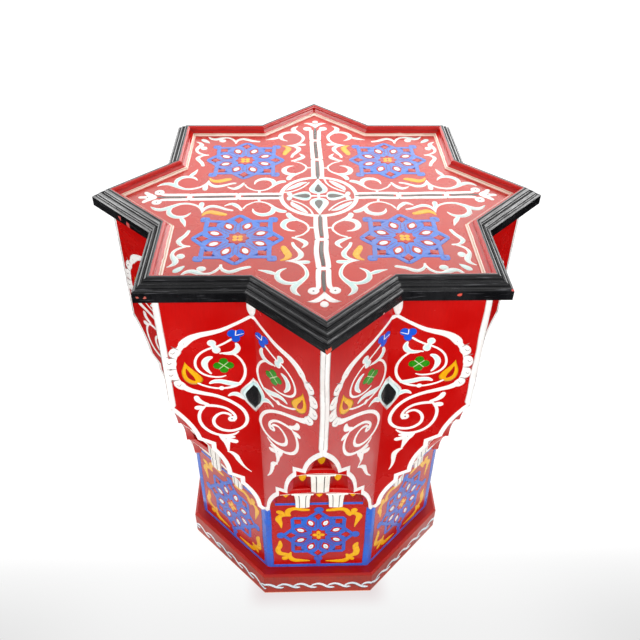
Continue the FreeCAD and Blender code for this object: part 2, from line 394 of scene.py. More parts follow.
on_core, core_folds, core_width = wrapped(octagon(core_reach), -core_half)

# Colours of the small brush. The blue lies thin over the red in places, and looks purple there.
star_blue = small_brush("star_blue_paint", (30, 104, 214), (62, 88, 188))
drop_white = small_brush("drop_white_paint", (254, 251, 249), (232, 244, 244))
drop_aqua = small_brush("drop_aqua_paint", (196, 232, 240), (180, 222, 234))
seam_purple = small_brush("seam_purple_paint", (92, 62, 150), (120, 50, 110))
gap_red = OilPaint("gap_red_paint", (205, 22, 14), (186, 12, 10)).done()
leaf_yellow = small_brush("leaf_yellow_paint", (246, 186, 1), (238, 166, 3))

# The interlaced star, about its middle: two squares, one turned by an eighth of a turn. The holes
# between its bands show the red ground, and eight of them hold a drop.
square_half = 29.8
band_width = 4.3
tip = 41.6
field_reach = 33.0
corner_gap_middle, corner_gap_half = 22.9, 3.0


def round_middle(mark, every=45.0, first=0.0):
    """The mark turned round the middle of its drawing, once each so many degrees."""
    return together(*[moved(mark, turn=first + every * step) for step in range(int(360 / every))])


def interlaced_star(loop):
    """Blue of the star: a filled field, a band along each side of the two squares, and a loop at
    the four corners of the upright square or at the tips of the other."""
    field = dab(*[(field_reach * math.cos(a), field_reach * math.sin(a)) for a in evenly(16)])
    side = stroke((-square_half, square_half, band_width), (0, square_half, band_width),
                  (square_half, square_half, band_width))
    slope = stroke((0, tip - 1.8, band_width), (2.4, tip - 3, band_width), (tip / 2, tip / 2, band_width),
                   (tip - 3, 2.4, band_width), (tip - 1.8, 0, band_width))
    return together(field, moved(round_middle(side, 90.0), raised=0.3),
                    moved(round_middle(slope, 90.0), raised=0.5), round_middle(loop, 90.0))


corner_loop = stroke(*[(x, y, 4.1) for x, y in (
    (28.6, 29.8), (34.2, 29.8), (34.6, 30.2), (34.6, 34.2), (34.2, 34.6), (30.2, 34.6), (29.8, 34.2),
    (29.8, 28.6))])
tip_loop = spot(0, 43.8, 10.6, 9.4)

drop = spot(0, 22.6, 5.4, 8.6)
drop_core = spot(0, 22.6, 2.2, 5)
drop_gap = dab(*alike((0, 14.6), (0, 14.6), (4, 19.4), (4.6, 24), (0, 30), (0, 30)))
tip_gap = with_corners((0, 36.8), (4.4, 32), (0, 26.2), (-4.4, 32))
corner_gap = with_corners(*[(corner_gap_middle + x * corner_gap_half, corner_gap_middle + y * corner_gap_half)
                            for x, y in ((-1, -1), (1, -1), (1, 1), (-1, 1))])
middle_gap = dab(*[(reach * math.sin(a), reach * math.cos(a)) for a, reach in
                   zip(evenly(16), [10.6, 8.2] * 8)])
star_gaps = together(round_middle(drop_gap, 45.0, 22.5), round_middle(tip_gap, 90.0), middle_gap,
                     round_middle(corner_gap, 90.0))
star_drops = round_middle(drop, 45.0, 22.5)
star_drop_cores = round_middle(drop_core, 45.0, 22.5)
star_seams = round_middle(together(stroke((-1.7, 12, 0.7), (-2.1, 19, 0.9), (-1.7, 26, 0.7)),
                                  stroke((1.7, 12, 0.7), (2.1, 19, 0.9), (1.7, 26, 0.7))))
cross_petals = round_middle(spot(0, 3.9, 5, 6.8), 90.0)

core_star_up = 104.2
core_star_size = (1.0, 1.13)
core_frame = together(stroke((-core_half, 38, 13.4), (-core_half, 165, 13.4)),
                      stroke((-core_half, 40, 6), (0, 39.8, 6.2), (core_half, 40, 6)),
                      stroke((0, 51, 7), (0, 47, 5.4), (0, 41, 5.8)),
                      stroke((-core_half, 165.3, 4.2), (0, 165.6, 4.4), (core_half, 165.3, 4.2)))
core_star = interlaced_star(tip_loop)
core_leaves = together(
    stroke((-10, 154, 3.2), (-18, 154.6, 5.5), (-26, 156.8, 5.7), (-33, 154.4, 6.9), (-35, 148, 6.4),
           (-32, 142, 3.7)),
    stroke((-32, 143.4, 3.7), (-38, 144.6, 5.5), (-43.6, 142.6, 6.2), (-46, 136.6, 7.7), (-44, 129, 5.2),
           (-43, 119, 1)),
    stroke((-47.6, 152.6, 5), (-43, 149.6, 7.4), (-39, 145, 3.7)),
    stroke((8, 152.6, 4), (16, 153.6, 5.7), (25, 155, 6.2), (31, 152, 6.2), (34, 146, 6.2), (36, 141, 2.5)),
    stroke((35, 145, 5), (41, 146, 5.7), (46, 141, 7.7), (44.6, 132, 5.2), (42, 119, 1)),
    stroke((40.6, 156, 6.2), (40, 152, 7.9), (38.4, 146, 3.7)),
    stroke((-45, 94, 2), (-45, 84, 6.2), (-48, 75, 6.4), (-46, 67.6, 7.4), (-38, 64.4, 6.7), (-32, 64, 3.7)),
    stroke((-32.6, 70, 2), (-34.4, 60, 6), (-30, 52.4, 7.7), (-21, 51, 5.7), (-10, 50, 1.7)),
    stroke((-44, 54, 5), (-41, 56.4, 8.7), (-38, 61, 3.7)),
    stroke((46.6, 88, 2.2), (44, 80, 7.4), (45.6, 71, 7.7), (44, 63, 7.9), (37, 60, 5)),
    stroke((34, 64, 3.7), (36.6, 56, 5.5), (32.6, 49.8, 7.9), (24, 48.6, 6.4), (9, 49.2, 2)),
    stroke((43, 50.6, 3.7), (40.6, 54.6, 6.2), (38, 59, 3.7)))


def on_each_face(drawing, raised=0.0, hands=True):
    """The drawing on all the faces of the core, copied by hand."""
    return together(*[moved(drawing, across=face * core_width, raised=raised,
                            hand=face if hands else None) for face in range(points_of_star)])


def star_mark(mark):
    """A mark of the star at its size and place on a face of the core."""
    return moved(mark, up=core_star_up, size=core_star_size)


for name, drawing, raised, paint, folds in (
        ("core_frame_lines", core_frame, 0.0, star_blue, core_folds),
        ("core_stars", star_mark(core_star), 0.3, star_blue, core_folds),
        ("core_star_gaps", star_mark(star_gaps), 1.6, gap_red, ()),
        ("core_star_seams", star_mark(star_seams), 1.6, seam_purple, ()),
        ("core_star_drops", star_mark(star_drops), 2.5, drop_white, ()),
        ("core_star_drop_middles", star_mark(star_drop_cores), 3.5, drop_aqua, ()),
        ("core_star_petals", star_mark(cross_petals), 2.5, leaf_yellow, ()),
        ("core_leaves", core_leaves, 0.0, leaf_yellow, ())):
    add_piece(name, on_each_face(drawing, raised), on_core, paint, folds)


# Plinth: eight mitred softwood lengths nailed round the foot, with a bevel on top. They are painted
# red-brown, and a braid of two white strands is brushed round them at half height.
plinth_reach = -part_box("plinth_moulding_1")[0].y / mm
plinth_half = plinth_reach * math.tan(eighth / 2)
on_plinth, plinth_folds, plinth_width = wrapped(octagon(plinth_reach), -plinth_half)
plinth_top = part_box("plinth_moulding_1")[1].z / mm
plinth_coat = OilPaint("plinth_red_paint", (172, 43, 24), (149, 34, 20))
# Its top and the upper part of its bevel are a deep, darker red: partly a paint of their own, partly painted
# shade under the star points.
height = plinth_coat.place.axis(2) + plinth_coat.place.noise(0.02, 2.0) * (0.8 * mm)
plinth_coat.over(height.between((plinth_top - 1.9) * mm, (plinth_top - 1.3) * mm), (170, 13, 11))
plinth_coat.over(1 - height.between(1.3 * mm, 1.9 * mm), (232, 132, 84))
plinth_paint = plinth_coat.done(0.34, 0.5)
paint_all("plinth_moulding_%d", points_of_star, plinth_paint)

braid_turns = 50
braid_pitch = points_of_star * plinth_width / braid_turns
braid_line = ((-9, 13.2, 1.6), (-5, 16.8, 3.4), (0, 18.4, 4.2), (5, 16.8, 4.2), (9, 13.5, 4),
              (13, 10.7, 4.4), (17, 10, 4), (20.5, 10.6, 1.4))
braid_white = small_brush("braid_white_paint", (244, 242, 244), (206, 228, 238))
# The braid's painted shadow: under each strand a dark strip, a little lower and wider.
braid_shadow_paint = OilPaint("braid_painted_shadow_paint", (70, 40, 46), (110, 40, 40)).done(0.3, 0.5)


def round_plinth(mark, raised=0.0):
    """One turn of the braid all round the plinth, in a row that wanders up and down a little."""
    return together(*[moved(mark, across=step * braid_pitch, up=0.6 * math.sin(step * 0.7), raised=raised,
                            hand=step) for step in range(braid_turns)])


braid_painted_shadows = round_plinth(moved(wider(braid_line, 0.8), up=-0.8))
add_piece("plinth_braid_painted_shadows", braid_painted_shadows, on_plinth, braid_shadow_paint, plinth_folds)
braid = round_plinth(stroke(*braid_line), 0.5)
add_piece("plinth_braid", braid, on_plinth, braid_white, plinth_folds)


# Carved niche work under each star point: three rows of small niches glued up from shaped blocks,
# each hollowed and coved out under the ledge above it. Two let-in ledges part the rows, and white
# piers that bend out and widen at the top stand between the niches. A yellow drop hangs in each.
arris_reach = -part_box("wall_board_01")[0].y / mm
board_thickness = 8.0
diagonal = math.sqrt(2)
inner_reach = arris_reach - board_thickness * diagonal
board_width = (arris_reach - core_reach) * diagonal
upper_run, lower_run = board_width * 0.411, board_width * 0.717
board_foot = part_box("wall_board_01")[0].z / mm
lower_ledge = board_foot + 48.0
upper_ledge = lower_ledge + 56.0
crown_height = upper_ledge + 60.0
ledge_height, ledge_hollow, ledge_nosing, ledge_depth = 8.4, 2.5, 0.8, 12.0
row_lip, hollow_depth, hollow_margin, block_depth = 2.0, 3.0, 1.4, 6.0
cove_foot = 1.0
front_1 = arris_reach - upper_run / diagonal - ledge_hollow - ledge_nosing
front_2 = arris_reach - lower_run / diagonal - ledge_hollow - ledge_nosing
cell_centre = front_1 - front_2
pier_half, small_pier_half = 9.8, 7.9
pier_stand = 3.2
# How finely the carving is divided: points across a row of niches and along a ledge, and steps up
# the cove of a row and the bend of a pier.
row_columns, ledge_columns, cove_steps, bend_steps = 49, 41, 12, 14


def row_surface(front, out, high, cells):
    """Reach of a row of niches at x and z: upright at front, then a quarter of an ellipse out to the
    ledge above, less a round hollow in each cell (centre, half width) that fades out in the cove."""
    crown = high - row_lip
    spring = crown - (out - front)

    def reach(x, z):
        rise = np.clip((z - spring) / (crown - spring), 0, 1)
        cove = out - (out - front) * np.sqrt(1 - rise ** 2)
        fade = 1 - rise ** 2 * (3 - 2 * rise)
        for centre, half in cells:
            radius = (half ** 2 + hollow_depth ** 2) / (2 * hollow_depth)
            beside = np.minimum(np.abs(x - centre), half)
            sagitta = np.sqrt(radius ** 2 - beside ** 2) - (radius - hollow_depth)
            cove = cove - fade * sagitta * (np.abs(x - centre) < half)
        return cove

    return reach, spring, crown


past_all_cells = 1000.0


def row_block(reach, front, low, spring, crown, high):
    """Solid behind a row: at each height a line of points across its face, as wide as the room
    between the hanging boards leaves it, and two points at the back."""
    bend = np.sin(np.linspace(0, math.pi / 2, cove_steps))
    z = np.concatenate([[low], np.linspace(low, spring, 5)[1:-1], spring + (crown - spring) * bend, [high]])
    share = np.linspace(-1, 1, row_columns)
    z, share = np.meshgrid(z, share, indexing="ij")
    half = inner_reach - reach(0 * z + past_all_cells, z)
    x = share * half
    y = reach(x, z)
    back = np.broadcast_to([front - block_depth, front - block_depth], (len(z), 2))
    x = np.concatenate([x, x[:, -1:], x[:, :1]], 1)
    y = np.concatenate([y, back], 1)
    z = np.concatenate([z, z[:, :2]], 1)
    return rings(np.stack([x, y], -1), z)


ledge_round, ledge_overlap = 0.7, 0.05


def ledge_bar(run, low, rise, out, depth, margin=0.0):
    """Bar along a ledge's hollowed front edge, whose reach falls off from its ends as a parabola.
    Its section is a rectangle with rounded front corners, and its ends come through the boards."""
    half = run / diagonal
    share = np.linspace(-1, 1, ledge_columns) * (1 - margin)
    front = arris_reach - half - ledge_hollow * (1 - share ** 2) + out
    x = share * half
    room = np.minimum(depth, half - np.abs(x) + ledge_overlap) if margin == 0 else np.full_like(x, depth)
    round_off = min(ledge_round, rise / 3)
    section = np.array([(1, 0), (0, 0), (0, 0), (0, 0), (0, 0), (1, 0)])
    inset = section[:, 0] * room[:, None] + np.array([0, round_off, 0, 0, round_off, 0])
    z = low + np.array([0, 0, round_off, rise - round_off, rise, rise]) + 0 * inset
    return rings(np.stack([x[:, None] + 0 * inset, front[:, None] - inset], -1), z)


def pier_path(base, out, foot, crown):
    """Front line of a pier: up from its foot, then a quarter of an ellipse out under the ledge.
    Gives its reach and height, and the direction square to it."""
    spring = crown - (out - base)
    angle = np.concatenate([[0, 0, 0, 0], np.linspace(0, math.pi / 2, bend_steps)])
    top = crown - pier_stand
    start = base + pier_stand
    reach = out - (out - start) * np.cos(angle)
    z = spring + (top - spring) * np.sin(angle)
    z[:4] = np.linspace(foot, spring, 5)[:4]
    ahead = np.gradient(np.stack([reach, z], 1), axis=0)
    ahead /= np.hypot(*ahead.T)[:, None]
    return reach, z, np.stack([ahead[:, 1], -ahead[:, 0]], 1)


swell_start, swell_height, foot_taper_height = 32.0, 20.0, 18.0
swell_share, foot_share = 0.5, 0.06


def widening(z, half, crown):
    """Half width of a pier: from the start of its swell under the crown it grows outwards as a
    quarter of an ellipse, by the swell's share, and below it tapers by the foot's share."""
    rise = np.clip((z - crown + swell_start) / swell_height, 0, 1)
    taper = np.clip((crown - swell_start - z) / foot_taper_height, 0, 1)
    return half * (1 - foot_share * taper) + half * swell_share * (1 - np.sqrt(1 - rise ** 2))


def pier_strip(centre, half, path, crown, offsets):
    """Strip along a pier's path. Each offset is a share of its half width, with how far the point
    stands out from the path."""
    reach, z, square = path
    wide = widening(z, half, crown)
    share, out = np.array(offsets).T
    x = centre + share * wide[:, None]
    y = reach[:, None] + out * square[:, :1]
    return rings(np.stack([x, y], -1), z[:, None] + out * square[:, 1:])


pier_section = [(-1, -3), (-1, -1.1), (-0.96, -0.75), (-0.44, 0), (0.44, 0), (0.96, -0.75), (1, -1.1),
                (1, -3)]
pier_line = [(0.38, -0.3), (0.38, 0.12), (0.475, 0.12), (0.475, -0.3)]
rows, piers, lines, drops = [], [], [], []
hanging_drop = dab((-3.8, 6), (-3.8, 6), (3.8, 6), (3.8, 6), (3.8, 2.2), (2.7, -2), (0, -5.4),
                   (0, -5.4), (-2.7, -2), (-3.8, 2.2))
clear_of_core = 0.3


def hung(x, z, surface):
    """A yellow drop laid on the hollow of a niche, or on the core where that lies behind it."""
    places, corners, sizes = moved(hanging_drop, x, z)
    reach = np.maximum(surface(places[:, 0], places[:, 1]), core_reach + clear_of_core) + places[:, 2]
    return np.stack([places[:, 0], reach, places[:, 1]], 1), corners, sizes


# Each row: its front, the front over it, its foot and top, where its drops hang, and its cells.
cove_front, lowest_row_height = core_reach + cove_foot, 18.0
pair_half, row_half = cell_centre - pier_half, cell_centre - small_pier_half
for front, out, low, high, drop_z, cells in (
        (front_1, inner_reach - hollow_margin, upper_ledge + ledge_height, crown_height, 276.0,
         [(0, pier_half + hollow_margin)]),
        (front_2, front_1, lower_ledge + ledge_height, upper_ledge, 225.2,
         [(-cell_centre, pair_half), (cell_centre, pair_half)]),
        (cove_front, front_2, lower_ledge - lowest_row_height, lower_ledge, 183.2,
         [(0, row_half), (-2 * cell_centre, row_half), (2 * cell_centre, row_half)])):
    surface, spring, crown = row_surface(front, out, high, cells)
    rows.append(row_block(surface, front, min(low, spring - 1), spring, crown, high))
    drops += [hung(centre, drop_z, surface) for centre, half in cells if abs(centre) < inner_reach - front]

# Each pier: its middle, half width, the face it stands on, the front over it, its foot and crown.
small_foot, small_crown = board_foot + 7.5, lower_ledge - row_lip
for centre, half, base, out, foot, crown in (
        (0.0, pier_half, front_2 + ledge_nosing, front_1, lower_ledge + 5.5, upper_ledge - row_lip),
        (-cell_centre, small_pier_half, cove_front, front_2, small_foot, small_crown),
        (cell_centre, small_pier_half, cove_front, front_2, small_foot, small_crown)):
    path = pier_path(base, out, foot, crown)
    piers.append(pier_strip(centre, half, path, crown, pier_section))
    lines += [pier_strip(centre, side * half, path, crown, pier_line) for side in (1, -1)]

both_ledges = (upper_run, upper_ledge), (lower_run, lower_ledge)
ledges = [ledge_bar(run, low, ledge_height, 0.0, ledge_depth) for run, low in both_ledges]
edge_lines = [ledge_bar(run, low + 0.2, rise=0.9, out=0.12, depth=1.0, margin=0.02)
              for run, low in both_ledges]
# Along the top front edge of each ledge a thin pink line: a painted highlight on the edge.
ledge_highlight_lines = [ledge_bar(run, low + ledge_height - 1.1, rise=0.5, out=0.1, depth=1.0, margin=0.02)
             for run, low in both_ledges]


def at_each_point(*solids):
    """Solids drawn as (x, reach, height) under the front point, and turned to all eight points."""
    places, corners, sizes = together(*solids)
    angle = evenly(points_of_star)[:, None]
    x, reach, z = places.T
    around = np.stack([x * np.cos(angle) + reach * np.sin(angle),
                       x * np.sin(angle) - reach * np.cos(angle), z + 0 * angle], -1)
    starts = len(places) * np.arange(points_of_star)[:, None]
    return around.reshape(-1, 3), (corners + starts).ravel(), np.tile(sizes, points_of_star)


def as_drawn(places):
    """Solids that are drawn in their place stay there."""
    return places


# The niches have a darker copy of the red than the ledges and boards: painted shade in the hollows.
niche_shade_paint = OilPaint("niche_painted_shade_red_paint", (190, 14, 8), (150, 9, 18)).done(0.25, 0.45)
ledge_paint = OilPaint("ledge_red_paint", (205, 10, 8), (184, 8, 8)).done()
pier_paint = OilPaint("pier_white_paint", (254, 251, 244), (242, 236, 226)).done(0.25, 0.4)
line_black = OilPaint("line_black_paint", (64, 60, 58), (92, 88, 86)).done(0.3, 0.5)
highlight_pink = OilPaint("ledge_highlight_pink_paint", (222, 120, 110), (200, 80, 70)).done()
sharp_angle = math.radians(35)


def carved(name, solids, paint):
    """One kind of piece at all eight points, shaded smooth but for its sharp edges."""
    piece = add_piece(name, at_each_point(*solids), as_drawn, paint)
    piece.data.shade_smooth()
    piece.data.set_sharp_from_angle(angle=sharp_angle)
    return piece


niches = carved("niche_rows", rows, niche_shade_paint)
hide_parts(*["muqarnas_point_%d" % number for number in range(1, points_of_star + 1)])
for name, solids, paint in (("niche_ledges", ledges, ledge_paint), ("niche_piers", piers, pier_paint),
                            ("pier_lines", lines, line_black), ("niche_drops", drops, leaf_yellow),
                            ("ledge_edge_lines", edge_lines, pier_paint),
                            ("ledge_painted_highlights", ledge_highlight_lines, highlight_pink)):
    carved(name, solids, paint)
# On each face of the core behind the lowest row of niches, a panel of that darker red: painted shade.
row_back_shade = with_corners((-52, 168.2), (52, 168.2), (52, 190), (-52, 190))
add_piece("niche_backs_painted_shade", on_each_face(row_back_shade, hands=False), on_core, niche_shade_paint)


# Hanging boards: two softwood boards meet in an arris at each star point, glued to the top board and
# to the core, their lower edge sawn into arches and notches. They are painted glossy red, with a
# white line on each arris and edge, and round each valley a scroll of white, blue, green and yellow.
wall_coat = OilPaint("wall_red_paint", (200, 4, 2), (190, 3, 2))
# Towards the foot the boards turn a darker red: painted shade, for the light that falls off lower down.
wall_coat.over((1 - wall_coat.place.axis(2).between(240 * mm, 400 * mm)) * 0.8, (187, 3, 2))
wall_paint = wall_coat.done()
paint_all("wall_board_%02d", 2 * points_of_star, wall_paint)

tip_angles = evenly(points_of_star)
star_tips = np.stack([arris_reach * np.sin(tip_angles), -arris_reach * np.cos(tip_angles)], 1)
star_valleys = np.roll(octagon(core_reach), -1, 0)
star_plan = np.stack([star_tips, star_valleys], 1).reshape(-1, 2)
on_walls, wall_folds, wall_width = wrapped(star_plan, 0.0)

# The scroll beside a valley, drawn as (distance from the scroll's middle line, height).
aqua_marks = (
    ((26, 393.5, 1.6), (19.4, 393.1, 3.6), (14.6, 394.5, 5.2), (11.8, 398.6, 4.8), (12, 402.6, 3),
     (13.4, 405.6, 1.2)),
    ((35, 406, 4.4), (31.6, 398, 4.4)),
    ((35.2, 389.5, 1.6), (39.8, 387.6, 4.4), (43, 383, 5.4), (43.1, 378, 4.8), (41.2, 373, 2.8),
     (38, 368.2, 1)),
    ((11, 354.7, 2.2), (17, 354.3, 4.8), (23.6, 355.7, 5.4), (30, 357.9, 4.8), (36.6, 358, 4),
     (41.4, 355.6, 1.2)),
    ((7.6, 333.6, 3), (12, 338.3, 4.4), (16.6, 341.2, 4.8), (20.6, 340.9, 3.4), (24.4, 338.4, 1)))
scroll_aqua = together(*[wider(line, -1.6, 0.5) for line in aqua_marks], spot(35, 406, 6, 5.6),
                       spot(31.4, 398, 5.8, 6.4))
lobes = together(spot(67.6, 394.8, 9.8, 13.4, 34), spot(72.2, 380.8, 9.6, 14, 10),
                 spot(72.4, 366, 9.6, 13.8, -8), spot(67.2, 353.2, 9.6, 13.6, -38))
scroll_white = together(
    *[wider(line, 0.8) for line in aqua_marks],
    spot(35, 406, 8.2, 7.8), spot(31.4, 398, 8, 8.6),
    stroke((0, 436.5, 3.8), (9, 430.6, 3.6), (18, 425.4, 3.8), (27, 420.6, 4.6), (36, 417.6, 5.4),
           (45, 415.2, 6.2), (52.5, 411.8, 7.4), (58.4, 406.6, 8.4), (62, 401, 7.4)),
    moved(lobes, raised=0.4),
    stroke((60.6, 404, 6), (65.2, 396, 5), (68.6, 388, 4.4), (70, 380, 4), (70.2, 371, 4),
           (69.2, 362, 4.4), (66.6, 355, 5), (62.6, 349.6, 6.4), (58, 346.6, 6), (52, 344.4, 5.2),
           (46, 342.3, 4.8),
           (38, 339.6, 4.3), (30, 336, 4), (22.5, 331.5, 3.8), (16, 326, 3.7), (10.8, 319.5, 3.7),
           (7.4, 312, 3.7), (6.3, 304.5, 3.7), (8, 297.4, 3.7), (13, 292, 3.7), (20, 289.4, 3.7),
           (27, 289.6, 3.7), (33.6, 292.6, 3.7), (38.4, 298, 3.5), (39.4, 305, 3.4), (36.6, 311.4, 3.2),
           (31, 315.2, 3), (25.5, 314.2, 2.9), (22, 311, 2.7)),
    stroke((47.5, 325.5, 3.8), (38, 325, 3.5), (29, 322.5, 3.2), (22.8, 318, 3), (18.8, 312, 2.9),
           (18, 306.6, 2.8), (20.5, 303, 2.8)),
    moved(spot(21.6, 306.8, 8), raised=0.4),
    stroke((47, 325, 3), (51.4, 318, 3.2), (53, 310, 3.3), (52, 301.5, 3.3), (48.4, 293.6, 3.4),
           (42.6, 287.6, 3.4), (35, 283.6, 3.5), (27, 282, 3.6), (19.6, 283.4, 3.2), (14.4, 287.6, 1.4)),
    stroke((43, 326.6, 2.8), (49, 329.5, 4.8), (53, 333.5, 5.8), (54.6, 339.6, 4.6)),
    stroke((48.6, 324, 3), (53, 322.8, 6), (57, 322, 5)),
    stroke((34.4, 283, 3.4), (29.6, 279, 8.8), (27, 272.6, 7), (26, 266, 4.6), (25.6, 260, 2.6),
           (25.8, 257.4, 1.6)),
    stroke((29, 277.4, 4.4), (22, 274, 5.6), (15.2, 271.2, 5.6)),
    stroke((28.4, 281, 3), (22, 279.2, 4), (18, 279.4, 3)),
    stroke((26.6, 257.8, 1.8), (21.6, 254.6, 3.8), (17, 249, 5.2), (15.2, 243, 5), (14.2, 237, 3.8),
           (12, 230, 2.3), (8.4, 223.4, 0.9)),
    stroke((16.2, 410.6, 2.4), (23, 406, 2.3), (30.4, 402.2, 2.2), (37.4, 399.6, 2.2), (44, 395.6, 2.2),
           (49, 390, 2.3), (51.4, 383, 2.4), (51, 376, 2.4), (47.4, 370, 2.4), (41.6, 366, 2.3),
           (35, 364, 2.2), (29, 363.8, 2), (24.4, 365.4, 1.2)),
    stroke((29, 393.6, 1.6), (23, 393.7, 2.1), (16.6, 392, 2.3), (11.6, 387.6, 2.4), (8, 381, 2.5),
           (6.4, 374, 2.6), (6.9, 366.4, 2.8), (9.2, 359.8, 3.2), (13.2, 354.4, 3.2), (19, 350.8, 2.8),
           (26.6, 348.9, 2.4), (34, 348.9, 2.3), (41, 350.8, 2.3), (47.6, 354, 2.2), (52.6, 357.8, 2)),
    spot(30, 348.8, 5.2, 5.6))
lobe_lines = together(stroke((64, 398.2, 0.6), (67, 400.6, 0.8), (70, 403, 0.5)),
                      stroke((67.6, 387, 0.6), (71.4, 388.4, 0.8), (75.6, 389.8, 0.5)),
                      stroke((68.4, 373.8, 0.6), (72.6, 373.4, 0.8), (77, 373.6, 0.5)),
                      stroke((66.8, 360.4, 0.6), (70.8, 359, 0.8), (75.2, 357.4, 0.5)),
                      stroke((67.4, 395.6, 0.5), (69.6, 393.4, 0.8), (71.4, 395.2, 0.5)),
                      stroke((71.6, 382.6, 0.5), (73.8, 380.2, 0.8), (75.4, 382, 0.5)),
                      stroke((71.8, 367.2, 0.5), (74, 364.8, 0.8), (75.4, 366.8, 0.5)),
                      stroke((66.2, 354.6, 0.5), (67.8, 351.8, 0.8), (70, 353, 0.5)))
trefoil = together(spot(9, 417, 8.2, 8.8), spot(16.4, 417, 8.2, 8.8), spot(12.8, 410.6, 7.8, 8.4))
trefoil_lines = together(stroke((12.7, 420.6, 0.8), (12.8, 414.4, 1)),
                         stroke((12.8, 414.4, 1), (5.6, 416.4, 0.7)))
clover = together(spot(26, 383.4, 8.2), spot(26, 372.8, 8), spot(20.6, 378, 8.2), spot(31.6, 378.4, 8.4),
                  spot(26, 378, 8))
clover_lines = together(stroke((21.4, 382.6, 0.9), (30.8, 373.8, 0.9)),
                        stroke((30.6, 382.6, 0.9), (21.4, 373.8, 0.9)))
wall_leaf = dab((60.4, 382.6), (60.4, 382.6), (62.6, 376), (64.2, 369.6), (63.6, 363.2), (61.2, 358.2),
                (57.4, 355.2), (52.4, 355), (47.6, 358), (46.6, 362.8), (49.6, 368), (53.8, 373),
                (57.6, 377.6))
leaf_slit = stroke((59.8, 374.6, 0.8), (59, 369.4, 3.4), (56.8, 364, 5), (53.4, 359.6, 1.6))
dark_dots = together(spot(21.6, 306.8, 2), spot(58.8, 405.4, 1.2), spot(27.6, 277, 1.3))

# What stands on the scroll's middle line: a black almond in an aqua frame, and a white knob above.
almond_outer = dab(*alike((0, 362), (0, 362), (4, 356.4), (8.8, 351.6), (12.6, 346.4), (13.2, 341),
                          (10.8, 334.4), (6.8, 327.4), (3.2, 321.4), (0, 317), (0, 317)))
almond_ring = dab(*alike((0, 358.4), (0, 358.4), (3.6, 354), (7.8, 349.8), (11, 345.2), (11.4, 341),
                         (9, 335.2), (5.6, 328.8), (2.6, 323.6), (0, 320), (0, 320)))
almond = dab(*alike((0, 353), (0, 353), (4.4, 347.8), (8, 342.4), (8.2, 337.4), (5.6, 330), (0, 322.8),
                    (0, 322.8)))
knob = dab(*alike((0, 436), (2.6, 439.4), (4.1, 445), (4, 451), (2.8, 457), (0, 461)))

# How far the painter missed each valley, from the one right of the front point and round. On each
# half the scroll is drawn further out by so much at these heights, and wider by a share.
missed = [3.2, 1.5, -1.0, 2.0, -1.5, 1.0, -2.0, -3.2]
knobs_missed = [4.5, 1.0, -0.5, 1.5, -1.0, 0.5, -1.0, -0.6]
drift_heights = (225, 245, 258, 264, 280, 320, 350, 415, 440)
drifts = (((1.3, -2.2, -5.2, -4.2, -3, -1.5, -0.5, -0.4, 0.8), 0.01),
          ((6.2, 10.2, 10.7, 5.7, 4.2, 4.6, 1.2, 0.8, 1.2), 0.09),
          ((3.7, 4.2, 0.7, 1.7, 0, 0.5, -0.2, -0.2, 4.2), 0.08),
          ((0.3, 6.3, 5.3, 5.3, 4.3, 1.7, 1, 1, -1.6), 0.03))


def beside_valleys(drawing, raised=0.0):
    """The drawing on both sides of each valley's scroll line. A point goes out by what its half adds
    at its height, interpolated, and by the half's share of how far it is past 25 mm."""
    copies = []
    for valley, miss in enumerate(missed):
        middle = (2 * valley + 1) * wall_width + miss
        for flip in (False, True):
            drift, spread = drifts[(2 if valley % 4 == 3 else 0) + flip]
            places, corners, sizes = drawing
            places = places.copy()
            places[:, 0] += np.interp(places[:, 1], drift_heights, drift) + spread * (places[:, 0] - 25)
            copies.append(moved((places, corners, sizes), across=middle, flip=flip, raised=raised,
                                hand=100 + 2 * valley + flip))
    return together(*copies)


def on_valleys(drawing, raised=0.0, misses=missed):
    """The drawing once on each valley's scroll line."""
    return together(*[moved(drawing, across=(2 * valley + 1) * wall_width + miss, raised=raised,
                            hand=140 + valley) for valley, miss in enumerate(misses)])


arch_bulge, step_rise, last_arch_rise = 3.6, 7.4, 6.7
step_run, last_arch_run = board_width * 0.15, board_width * 0.9065
arch_points = 14


def board_edge():
    """Lower edge of a hanging board as (run, height): an arch for each row of niches, each a parabola
    that bulges off its chord at the middle, with a notch over each ledge."""
    upper_top, lower_top = upper_ledge + ledge_height, lower_ledge + ledge_height
    arches = (((0, crown_height), (upper_run - step_run, upper_top + step_rise), (upper_run, upper_top)),
              ((upper_run, upper_ledge), (lower_run - step_run, lower_top + step_rise),
               (lower_run, lower_top)),
              ((lower_run, lower_ledge), (last_arch_run, board_foot + last_arch_rise),
               (board_width - arch_bulge, board_foot)))
    share = np.linspace(0, 1, arch_points)[:, None]
    bulge = 4 * share * (1 - share) * np.array([arch_bulge, 0])
    line = []
    for crown, foot, corner in arches:
        crown, foot = np.array(crown), np.array(foot)
        line += [crown + (foot - crown) * share + bulge, [corner]]
    return np.concatenate([*line, [(board_width, board_foot)]])


def border(line, width):
    """Band of paint inside an edge: from the edge to its parallel, whose corners are mitred. Its two
    ends lie straight above the ends of the edge."""
    ahead = np.diff(line, axis=0)
    inward = np.stack([-ahead[:, 1], ahead[:, 0]], 1) / np.hypot(*ahead.T)[:, None]
    mitre = (inward[1:] + inward[:-1]) / (1 + (inward[1:] * inward[:-1]).sum(1))[:, None]
    ends = np.array([[0, 1 / inward[0, 1]], [0, 1]])
    mitre = np.concatenate([ends[:1], mitre, ends[1:]])
    share = np.array([0.0, 0.1, 0.5, 0.9, 1.0])
    flat = line[:, None] + width * share[:, None] * mitre[:, None]
    return rings(flat, np.tile(stroke_dome, (len(line), 1)))


